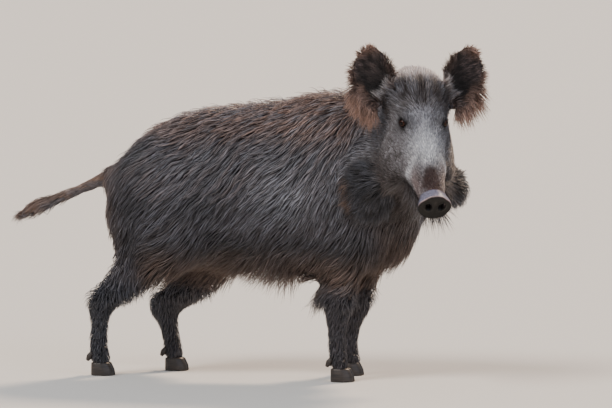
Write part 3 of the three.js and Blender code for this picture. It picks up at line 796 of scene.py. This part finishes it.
def lie(points, shares):
    # the way the hair runs, before it is laid on the skin, and the angle by which it wanders from that
    x, y, z = onBody(points).T
    side = np.sign(y)
    head = toHead(points)
    forward, left, _ = head.T
    flip = np.where(left < 0, -1.0, 1.0)
    hand = np.tanh(left / 0.015)  # so that the hair has no parting
    ones = np.ones_like(x)

    def way(a, b, c):
        return unit(np.stack([a * ones, b * ones, c * ones], axis=1))

    def headWay(a, b, c):
        return way(a, b, c) @ headAxes

    steep = smooth(0.10, 0.32, x)[:, None]
    flank = unit(mix(way(-0.72, 0, -0.69), way(-0.38, 0, -0.92), steep))
    low = smooth(0.46, 0.34, z)[:, None]
    flank = unit(mix(flank, way(-0.86, 0, -0.5), 0.6 * low))
    rump = smooth(-0.26, -0.42, x)[:, None]
    flank = unit(mix(flank, way(-0.38, 0, -0.92), rump))
    away = head - ruffMiddles[(left > 0).astype(int)]
    ruff = unit(away) * 0.55 + np.stack([-0.15 * ones, 0.45 * flip, -0.62 * ones], axis=1)
    muzzle = smooth(0.06, 0.13, forward)
    ways = {
        "flank": flank,
        "spine": way(-0.80, 0.35 * side, -0.12),
        "belly": way(-0.7, 0, -0.6),
        "fringe": way(-0.35, 0, -0.95),
        "thigh": way(-0.30, 0, -0.95),
        "elbow": way(-0.42, 0, -0.9),
        "neck": way(-0.22, 0, -0.95),
        "throat": way(-0.25, 0, -0.95),
        "leg": way(-0.16, 0, -1.0),
        "cheek": headWay(-0.62, 0.30 * hand, -0.55),
        "crown": headWay(-0.9, 0.20 * hand, 0.15),
        "face": headWay(-1, 0.35 * hand * (1 - 0.5 * muzzle), -0.12 * muzzle),
        "chin": headWay(0.50, 0.55 * hand, -0.72),
        "ruff": unit(ruff) @ headAxes,
        "tail": way(-0.93, 0, -0.36),
        "tuft": way(-0.90, 0.22 * side, -0.38),
    }
    fan, rimFan, lobeFan = 0, 0, 0
    for ear in ears:
        mine = (flip == ear["side"])[:, None]
        along, over, _ = onEar(points, ear)
        outer = np.sign(ear["across"] @ ear["out"])
        sweep = outer * (1.25 * smooth(-0.85, -0.15, over * outer) - 0.5)
        fan = fan + mine * unit(ear["up"] * 0.8 + ear["across"] * sweep[:, None])
        spread = np.sign(over) * smooth(0.1, 0.7, np.abs(over))
        rise = 0.25 + 0.75 * smooth(0.3, 0.95, along)
        aside = 0.25 + 1.5 * smooth(0.12, 0.6, along)
        lobeWay = ear["out"] * aside[:, None] + ear["facing"] * 0.1 + [0, 0, -0.85]
        lobeFan = lobeFan + mine * unit(lobeWay)
        rimWay = ear["up"] * rise[:, None] + ear["across"] * spread[:, None]
        rimFan = rimFan + mine * unit(rimWay + ear["facing"] * 0.15 - headAxes[0] * 0.1)
    ways["ear"], ways["earRim"], ways["earLobe"] = fan, rimFan, lobeFan
    total = sum(shares[:, growthNames.index(name)][:, None] * ways[name] for name in growthNames)
    turn = 0.13 * ripple(points, 0.16, 11) + 0.13 * ripple(points, 0.06, 12)
    wander = {"flank": 1.0, "spine": 0.8, "ruff": 0.8, "belly": 0.6}
    turn = turn * (shares @ np.array([wander.get(name, 0.35) for name in growthNames]))
    return unit(total), turn


def nearest(points):
    # for each point, the closest place on the skin and the normal there
    found = [skinTree.find_nearest(point) for point in points.tolist()]
    places = np.array([f[0] for f in found])
    ways = np.array([f[1] for f in found])
    return places, ways


def sowRoots(mesh):
    mesh.calc_loop_triangles()
    corners = read(mesh.loop_triangles, "vertices", 3, int)
    loops = read(mesh.loop_triangles, "loops", 3, int)
    faces = read(mesh.loop_triangles, "polygon_index", 1, int)[:, 0]
    a, b, c = (points[corners[:, i]] for i in range(3))
    middles = (a + b + c) / 3
    area = np.linalg.norm(np.cross(b - a, c - a), axis=1) / 2
    facing = unit(np.cross(b - a, c - a))
    spacing = grown(growthShares(middles, facing), "spacing", 0.001)
    haired = (1 - barePart(middles)) * (onBody(middles)[:, 2] > 0.041)
    for ball in balls.values():
        away = middles - ball["middle"]
        x, y = away @ ball["level"], away @ ball["rise"]
        opening = np.hypot(x / lids["wide"], (y + 0.1 * x) / lids["high"])
        haired = haired * np.where(np.linalg.norm(away, axis=1) < 0.024, smooth(1.25, 1.6, opening), 1)
    wanted = np.cumsum(area * haired / spacing**2)
    total = int(wanted[-1])
    picks = (np.arange(total) + rng.random(total)) / total * wanted[-1]
    chosen = np.minimum(np.searchsorted(wanted, picks), len(corners) - 1)
    u, v = rng.random((2, total))
    flip = u + v > 1
    u, v = np.where(flip, 1 - u, u), np.where(flip, 1 - v, v)
    weights = np.stack([1 - u - v, u, v], axis=1)
    spread = corners[chosen]
    return {
        "at": np.einsum("ij,ijk->ik", weights, points[spread]),
        "normal": unit(np.einsum("ij,ijk->ik", weights, normals[spread])),
        "loops": loops[chosen],
        "weights": weights,
        "face": faces[chosen],
    }


def leadersOf(at, spacing, seed):
    # the index of each tuft's leader, so that tufts fall into patches of about this spacing
    chance = np.random.default_rng(seed)
    order = chance.permutation(len(at))
    near = KDTree(len(at))
    for i, point in enumerate(at.tolist()):
        near.insert(point, i)
    near.balance()
    leader = np.full(len(at), -1)
    closest = np.full(len(at), np.inf)
    covered = np.zeros(len(at), bool)
    for i in order:
        if covered[i]:
            continue
        for _, j, distance in near.find_range(at[i], spacing[i]):
            if distance < closest[j]:
                closest[j], leader[j] = distance, i
            if distance < spacing[i] * 0.62:
                covered[j] = True
    return leader


def combed(at, normal, shares, joints):
    # the path of each tuft: laid on the skin along its lie, then lifted, waved and drawn into locks
    count = len(at)
    length = grown(shares, "length", 0.001) * rng.uniform(0.72, 1.18, count)
    loose = grown(shares, "loose") * rng.uniform(0.5, 1.4, count)
    depth = np.maximum(coatDepth(at), 0.0012)
    lift = grown(shares, "lift") * rng.uniform(0.45, 1.05, count)
    stand = grown(shares, "stand") * length * rng.uniform(0.5, 1.2, count)
    lift = lift * (1 + 0.28 * furrow(at) * grown(shares, "lock") / 20)
    stray = rng.random(count) < habits["stray"]
    lift = np.where(stray, lift * habits["strayLift"], lift)
    swing = grown(shares, "wave", 0.001)
    phase = ripple(at, 0.06, 21) * 2.2 + rng.normal(0, 0.35, count)
    step = length / joints
    spot, facing = at, normal
    path, ups = [at], [normal]
    first = None
    for joint in range(joints):
        way, turn = lie(spot, shares)
        way = way - facing * np.sum(way * facing, axis=1)[:, None]
        way = unit(way + 1e-9)
        side = np.cross(facing, way)
        angle = turn + rng.normal(0, 0.07, count) * (1 + 3 * stray)
        way = way * np.cos(angle)[:, None] + side * np.sin(angle)[:, None]
        if first is None:
            first = way
        spot, facing = nearest(spot + way * step[:, None])
        share = (joint + 1) / joints
        free = at + (first + np.array([0, 0, -habits["droop"]]) * share) * (length * share)[:, None]
        mixed = spot + (free - spot) * np.clip(loose * share**0.5, 0, 1)[:, None]
        high = depth * lift * (1 - (1 - share) ** 1.7)
        sway = swing * np.sin(2 * np.pi * share * length / 0.055 + phase) * share
        off = facing * high[:, None] + normal * (stand * share)[:, None]
        path.append(mixed + (off + np.cross(facing, way) * sway[:, None]))
        ups.append(facing)
    path, ups = np.stack(path, axis=1), np.stack(ups, axis=1)
    along = (np.arange(joints + 1) / joints)[None, :, None]
    wide = leadersOf(at, grown(shares, "lock", 0.001), 31)
    small = leadersOf(at, grown(shares, "lock", 0.001 * habits["smallLock"]), 32)
    gather = grown(shares, "gather") * rng.uniform(0.6, 1.15, count) * np.where(stray, 0.2, 1)
    gather = gather[:, None, None]
    drawn = path + (path[wide] - path) * np.clip(gather * 0.75, 0, 1) * along**1.5
    path = path + (drawn[small] - path) * np.clip(gather, 0, 0.95) * along**1.15
    # nothing sinks into the skin
    flat = path[:, 1:].reshape(-1, 3)
    under, out = nearest(flat)
    above = np.sum((flat - under) * out, axis=1)
    least = np.repeat(depth * 0.12, joints) + 0.0002
    flat = flat + out * np.maximum(least - above, 0)[:, None]
    path[:, 1:] = flat.reshape(count, joints, 3)
    return path, ups


def tufted(name, path, ups, width, colours, fades, spots, slot, material):
    # one closed three-sided blade along each path
    count, nodes = path.shape[:2]
    joints = nodes - 1
    share = np.arange(nodes) / joints
    thick = {4: [0.8, 1.0, 0.92, 0.6], 3: [0.8, 1.0, 0.68], 2: [0.85, 0.8]}[joints]
    run = np.empty_like(path)
    run[:, :-1] = path[:, 1:] - path[:, :-1]
    run[:, -1] = run[:, -2]
    run[:, 1:-1] = path[:, 2:] - path[:, :-2]
    run = unit(run)
    side = unit(np.cross(run, ups) + 1e-9)
    top = unit(np.cross(side, run))
    half = (width[:, None] * np.array(thick))[:, :, None] / 2
    base = path[:, :-1].copy()
    base[:, 0] -= ups[:, 0] * 0.0012
    right, high = side[:, :-1] * half, top[:, :-1] * half * 0.75
    rings = np.stack([base - right, base + high, base + right], axis=2)
    verts = np.concatenate([rings.reshape(count, joints * 3, 3), path[:, -1:]], axis=1)
    perTuft = joints * 3 + 1
    faces = [(0, 1, 2)]
    for i in range(joints - 1):
        for j in range(3):
            a, b = i * 3 + j, i * 3 + (j + 1) % 3
            faces += [(a, a + 3, b), (b, a + 3, b + 3)]
    last = (joints - 1) * 3
    faces += [(last + j, perTuft - 1, last + (j + 1) % 3) for j in range(3)]
    faces = np.array(faces)
    corners = (faces[None] + (np.arange(count) * perTuft)[:, None, None]).reshape(-1)
    mesh = bpy.data.meshes.new(name)
    mesh.vertices.add(count * perTuft)
    mesh.vertices.foreach_set("co", verts.reshape(-1).astype("f4"))
    mesh.loops.add(len(corners))
    mesh.loops.foreach_set("vertex_index", corners.astype("i4"))
    mesh.polygons.add(len(corners) // 3)
    mesh.polygons.foreach_set("loop_start", np.arange(0, len(corners), 3, dtype="i4"))
    mesh.update(calc_edges=True)
    mesh.shade_smooth()
    ring = np.repeat(np.arange(joints), 3)
    fade = np.append(share[ring], 1.0)
    over = np.append(np.tile([0.0, 0.5, 1.0], joints), 0.5)
    root, tip = colours
    mixed = root[:, None] + (tip - root)[:, None] * (fade[None] ** fades[:, None])[:, :, None]
    paint(mesh, "Tint", np.clip(mixed.reshape(-1, 3), 0, 1))
    flatUV = spots[:, None] + habits["patch"] * (np.stack([over, fade], axis=1)[None] - 0.5)
    bake = mesh.uv_layers.new(name="OFBake")
    bake.uv.foreach_set("vector", flatUV.reshape(-1, 2)[corners].astype("f4").ravel())
    long = np.linalg.norm(path[:, -1] - path[:, 0], axis=1) / np.maximum(width, 1e-4)
    along = rng.random(count)[:, None] * 40  # another stretch of the strand pattern for each tuft
    strand = np.stack([over[None] + along, fade[None] * long[:, None]], axis=2)
    lock = mesh.uv_layers.new(name="Lock")
    lock.uv.foreach_set("vector", strand.reshape(-1, 2)[corners].astype("f4").ravel())
    mesh.materials.append(material)
    place(name, mesh, slot)
    return len(corners) // 3


def unwrappedSpots(roots, take, thing):
    # where the chosen roots fall on an unwrap of their own part of the skin
    mesh = thing.data
    hidden = np.ones(len(mesh.polygons), bool)
    hidden[roots["face"][take]] = False
    mesh.polygons.foreach_set("select", ~hidden)
    mesh.uv_layers.active = mesh.uv_layers["Flat"]
    bpy.ops.object.mode_set(mode="EDIT")
    bpy.ops.uv.smart_project(angle_limit=1.15, island_margin=0.004, scale_to_bounds=True)
    bpy.ops.object.mode_set(mode="OBJECT")
    flat = read(mesh.uv_layers["Flat"].uv, "vector", 2, "f4")
    spots = np.einsum("ij,ijk->ik", roots["weights"][take], flat[roots["loops"][take]])
    return habits["patch"] + (1 - 2 * habits["patch"]) * spots


def link(material, node, links):
    for name, socket in links.items():
        material.node_tree.links.new(socket, node.inputs[name])


def nodeIn(material, kind, settings=None, links=None):
    # adds a node, sets its values and joins its inputs to other nodes' outputs
    node = material.node_tree.nodes.new("ShaderNode" + kind)
    for name, value in (settings or {}).items():
        if hasattr(node, name):
            setattr(node, name, value)
        else:
            node.inputs[name].default_value = value
    link(material, node, links or {})
    return node


def finish(name, settings):
    material = bpy.data.materials.new(name)
    material.use_nodes = True
    surface = material.node_tree.nodes["Principled BSDF"]
    for socket, value in settings.items():
        surface.inputs[socket].default_value = value
    return material, surface


def hairFinish(name, settings):
    # bristles of keratin: fine light and dark lines along each tuft, a soft gloss
    material, surface = finish(name, {"Roughness": settings["roughness"], "IOR": 1.55})
    surface.inputs["Specular IOR Level"].default_value = settings["gloss"]
    tint = nodeIn(material, "Attribute", {"attribute_name": "Tint"})
    where = nodeIn(material, "UVMap", {"uv_map": "Lock"})
    across = {"Scale": (settings["strands"], 0.10, 1)}
    lines = nodeIn(material, "Mapping", across, {"Vector": where.outputs["UV"]})
    flat = {"noise_dimensions": "2D", "Scale": 1.0, "Detail": 2.0}
    grain = nodeIn(material, "TexNoise", flat, {"Vector": lines.outputs[0]})
    low, high = settings["contrast"]
    limits = {"From Min": 0.3, "From Max": 0.7, "To Min": low, "To Max": high}
    shade = nodeIn(material, "MapRange", limits, {"Value": grain.outputs[0]})
    colour = nodeIn(material, "VectorMath", {"operation": "SCALE"}, {"Scale": shade.outputs[0]})
    link(material, colour, {0: tint.outputs["Color"]})
    relief = {"Strength": 0.35, "Distance": 0.0004}
    lump = nodeIn(material, "Bump", relief, {"Height": grain.outputs[0]})
    link(material, surface, {"Base Color": colour.outputs[0], "Normal": lump.outputs[0]})
    return material


hairs = {
    "bristle_coat": {"roughness": 0.46, "gloss": 0.55, "strands": 7.0, "contrast": (0.45, 1.5)},
    "short_face_hair": {"roughness": 0.5, "gloss": 0.45, "strands": 4.0, "contrast": (0.7, 1.25)},
    "ear_hair": {"roughness": 0.52, "gloss": 0.4, "strands": 4.0, "contrast": (0.65, 1.3)},
}
coatHair, faceHair, earHair = [hairFinish(name, settings) for name, settings in hairs.items()]


def skinFinish():
    # hide under the hair, and damp leather at the end of the muzzle
    material, surface = finish("boar_hide", {"IOR": 1.4, "Specular IOR Level": 0.35})
    tint = nodeIn(material, "Attribute", {"attribute_name": "Tint"})
    bare = nodeIn(material, "Attribute", {"attribute_name": "Bare"})
    where = nodeIn(material, "TexCoord").outputs["Object"]
    pores = nodeIn(material, "TexVoronoi", {"Scale": 1 / hide["pores"]}, {"Vector": where})
    short = nodeIn(material, "TexNoise", {"Scale": 1 / hide["shortHair"], "Detail": 3.0}, {"Vector": where})
    limits = {"From Min": 0.3, "From Max": 0.7, "To Min": 0.6, "To Max": 1.3}
    shade = nodeIn(material, "MapRange", limits, {"Value": short.outputs[0]})
    colour = nodeIn(material, "VectorMath", {"operation": "SCALE"}, {"Scale": shade.outputs[0]})
    link(material, colour, {0: tint.outputs["Color"]})
    wet = {"To Min": 0.75, "To Max": 0.42}
    gloss = nodeIn(material, "MapRange", wet, {"Value": bare.outputs["Fac"]})
    relief = {"Strength": 0.5, "Distance": 0.0006}
    lump = nodeIn(material, "Bump", relief, {"Height": pores.outputs["Distance"]})
    link(material, surface, {"Base Color": colour.outputs[0], "Normal": lump.outputs[0]})
    link(material, surface, {"Roughness": gloss.outputs[0]})
    return material


def eyeFinish():
    # a wet cornea over a dark brown iris
    material, surface = finish("wet_eye", {"Roughness": 0.09, "IOR": 1.336, "Specular IOR Level": 0.35})
    tint = nodeIn(material, "Attribute", {"attribute_name": "Tint"})
    link(material, surface, {"Base Color": tint.outputs["Color"]})
    return material


claw = {
    "growthLines": 0.003,  # apart
    "edge": 0.0035,  # worn round
    "dewEdge": 0.002,
    "shades": ("#171311", "#3d322b"),
}


def hornFinish():
    # worn claw horn: dark, with growth lines across it and a dull gloss
    material, surface = finish("claw_horn", {"Roughness": 0.5, "IOR": 1.55})
    at = nodeIn(material, "TexCoord")
    rings = {"Scale": (25, 25, 1 / claw["growthLines"])}
    bands = nodeIn(material, "Mapping", rings, {"Vector": at.outputs["Object"]})
    lines = nodeIn(material, "TexNoise", {"Scale": 1.0, "Detail": 3.0}, {"Vector": bands.outputs[0]})
    ramp = nodeIn(material, "ValToRGB", None, {"Fac": lines.outputs[0]})
    for element, code in zip(ramp.color_ramp.elements, claw["shades"]):
        element.color = (*linear(code), 1)
    ramp.color_ramp.elements[0].position = 0.3
    ramp.color_ramp.elements[1].position = 0.75
    lump = nodeIn(material, "Bump", {"Strength": 0.4, "Distance": 0.0006}, {"Height": lines.outputs[0]})
    link(material, surface, {"Base Color": ramp.outputs[0], "Normal": lump.outputs[0]})
    return material


skinMesh.materials.append(skinFinish())
wetEye, clawHorn = eyeFinish(), hornFinish()

iris = {
    "radius": 0.0086,
    "pupil": (0.0050, 0.0038),  # half wide, half high
    "bulge": 0.0008,  # of the cornea
    "brown": "#34190c",
    "rim": "#0d0806",
    "black": "#050405",
}


def makeEye(word):
    ball = balls[word]
    shape = bmesh.new()
    bmesh.ops.create_uvsphere(shape, u_segments=56, v_segments=40, radius=eyeRadius)
    turn = Matrix(np.stack([ball["level"], ball["rise"], ball["gaze"]], axis=1).tolist())
    if turn.determinant() < 0:
        turn.col[1] = -turn.col[1]
    colours = []
    for vert in shape.verts:
        x, y, z = vert.co
        out = math.hypot(x, y) if z > 0 else 1
        colours.append(eyeTone(x, y, out))
        if z > 0:
            vert.co *= 1 + iris["bulge"] / eyeRadius * float(smooth(iris["radius"] * 1.1, 0.002, out))
    setting = Matrix.Translation(Vector(ball["middle"])) @ turn.to_4x4()
    bmesh.ops.transform(shape, matrix=setting, verts=shape.verts)
    mesh = bpy.data.meshes.new(f"eyeball_{word}")
    shape.to_mesh(mesh)
    shape.free()
    mesh.shade_smooth()
    paint(mesh, "Tint", np.array(colours))
    mesh.materials.append(wetEye)
    place(f"eyeball_{word}", mesh, "eye", f"eye_{word}")


def eyeTone(x, y, out):
    pupil = math.hypot(x / iris["pupil"][0], y / iris["pupil"][1])
    spokes = 0.75 + 0.25 * math.sin(math.atan2(y, x) * 23)
    rim = float(smooth(iris["radius"] * 0.8, iris["radius"], out))
    shade = mix(linear(iris["brown"]) * spokes, linear(iris["rim"]), rim)
    return mix(linear(iris["black"]), shade, float(smooth(0.85, 1.1, pupil)))


for word in balls:
    makeEye(word)
print("eyes")


def makeClaw(node):
    shape = bmesh.new()
    shape.from_mesh(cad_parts[node].data)
    bmesh.ops.remove_doubles(shape, verts=shape.verts, dist=1e-5)
    bmesh.ops.dissolve_limit(shape, angle_limit=math.radians(2), verts=shape.verts, edges=shape.edges)
    mesh = bpy.data.meshes.new(f"horn_{node}")
    shape.to_mesh(mesh)
    shape.free()
    mesh.shade_smooth()
    mesh.materials.append(clawHorn)
    thing = place(f"horn_{node}", mesh, "claw_horn", node)
    edge = thing.modifiers.new("edges", "BEVEL")
    edge.width = claw["dewEdge"] if "dewclaw" in node else claw["edge"]
    edge.segments = 3
    edge.limit_method = "ANGLE"
    edge.angle_limit = math.radians(20)


for leg in legNames:
    for word in ("right", "left"):
        for kind in ("claw", "dewclaw"):
            makeClaw(f"{leg}_{kind}_{word}")
print("claws")

# the tufts
skinTree = BVHTree.FromPolygons(points.tolist(), [list(p.vertices) for p in skinMesh.polygons])
roots = sowRoots(skinMesh)
shares = growthShares(roots["at"], roots["normal"])
ruling = shares.argmax(axis=1)
print("roots", len(ruling), {name: int(np.sum(ruling == i)) for i, name in enumerate(growthNames)})

flatThing = bpy.data.objects.new("flat", skinMesh.copy())
bpy.context.collection.objects.link(flatThing)
bpy.context.view_layer.objects.active = flatThing
flatThing.data.uv_layers.new(name="Flat")
slots = {"face_coat": "face_hair", "cheek_coat": "face_hair", "ear_coat": "ear_hair"}
hairOf = {"face_coat": faceHair, "cheek_coat": faceHair, "ear_coat": earHair}


def partsOf(kind, at):
    # which piece each tuft falls to, and the pieces' names
    x, y, _ = onBody(at).T
    if kind == "trunk_coat":
        lengthwise = ["rear", "middle", "front"]
        part = (y > 0) * 3 + np.digitize(x, [-0.20, 0.10])
        return part, [f"{side}_{along}" for side in ("right", "left") for along in lengthwise]
    if kind == "leg_coat":
        return (y > 0) * 2 + (x > 0), ["hind_right", "fore_right", "hind_left", "fore_left"]
    if kind == "tail_coat":
        return np.zeros(len(at), int), ["all"]
    if kind == "neck_coat":
        across = y + 0.10 * smooth(0.3, 0.45, x)
    else:
        across = toHead(at)[:, 1]
    return (across > 0).astype(int), ["right", "left"]


triangles = 0
for kind, (members, joints) in kinds.items():
    chosen = np.flatnonzero(np.isin(ruling, [growthNames.index(name) for name in members]))
    at, normal, mine = roots["at"][chosen], roots["normal"][chosen], shares[chosen]
    path, ups = combed(at, normal, mine, joints)
    root, tip = markingsAndPaintedLight(at, normal)
    grizzled = kind == "face_coat"
    vary = rng.normal(0, 0.30 if grizzled else 0.22, (len(at), 1))
    vary = vary + 0.14 * ripple(at, 0.04, 41)[:, None]
    if grizzled:
        dark = np.where(rng.random(len(at)) < 0.30, 0.85, 0.12)
    else:
        dark = rng.uniform(0, 0.55, len(at))
    tips = blend(tip * np.clip(1 + vary, 0.35, 1.9), root, dark)
    width = grown(mine, "width", 0.001) * rng.uniform(0.75, 1.25, len(at))
    part, words = partsOf(kind, at)
    for i, word in enumerate(words):
        take = np.flatnonzero(part == i)
        spots = unwrappedSpots(roots, chosen[take], flatThing)
        made = tufted(
            f"{kind}_{word}", path[take], ups[take], width[take], (root[take], tips[take]),
            grown(mine[take], "fade"), spots, slots.get(kind, "coat"), hairOf.get(kind, coatHair),
        )
        triangles += made
        print(f"{kind}_{word}", made, "triangles")
bpy.data.objects.remove(flatThing)
print("coat", triangles, "triangles")

# floor, light and camera
stage = {
    "floor": "#d2d0cb",
    "sky": "#e2e9f4",
    "skyStrength": 0.5,
    "lamps": {  # where the light comes from, its softness in degrees, strength and colour
        "key": ((-0.45, -0.75, 0.95), 25, 2.5, "#fff8f2"),
        "side": ((0.9, -0.6, 0.45), 40, 0.7, "#e3ecff"),
        "rim": ((0.35, 0.95, 0.95), 12, 3.9, "#ffe0c2"),
    },
    "azimuth": 15,
    "elevation": 3.3,
    "distance": 10,
    "across": 1.636,  # width of the view at the animal
    "aim": (0.150, 0, 0.465),
}
ground = bmesh.new()
bmesh.ops.create_circle(ground, cap_ends=True, segments=64, radius=600)
floorMesh = bpy.data.meshes.new("floor")
ground.to_mesh(floorMesh)
ground.free()
paper = {"Roughness": 0.9, "Base Color": (*linear(stage["floor"]), 1)}
floorFinish, surface = finish("matt_paper_floor", paper)
floorMesh.materials.append(floorFinish)
floor = bpy.data.objects.new("floor", floorMesh)
bpy.context.collection.objects.link(floor)

scene = bpy.context.scene
world = bpy.data.worlds.new("studio")
world.use_nodes = True
world.node_tree.nodes["Background"].inputs[0].default_value = (*linear(stage["sky"]), 1)
world.node_tree.nodes["Background"].inputs[1].default_value = stage["skyStrength"]
scene.world = world
aim = Vector(groundOrigin) + Vector(stage["aim"])
for name, (source, softness, strength, code) in stage["lamps"].items():
    lamp = bpy.data.lights.new(name, "SUN")
    lamp.angle = math.radians(softness)
    lamp.energy = strength
    lamp.color = linear(code)
    thing = bpy.data.objects.new(name, lamp)
    bpy.context.collection.objects.link(thing)
    thing.rotation_euler = (-Vector(source)).to_track_quat("-Z", "Y").to_euler()

turn, rise = math.radians(stage["azimuth"]), math.radians(stage["elevation"])
back = Vector((math.sin(turn) * math.cos(rise), -math.cos(turn) * math.cos(rise), math.sin(rise)))
lens = bpy.data.cameras.new("camera")
lens.sensor_width = 36
lens.lens = 36 * stage["distance"] / stage["across"]
lens.clip_end = 1500
camera = bpy.data.objects.new("camera", lens)
bpy.context.collection.objects.link(camera)
camera.location = aim + back * stage["distance"]
camera.rotation_euler = (-back).to_track_quat("-Z", "Y").to_euler()
scene.camera = camera
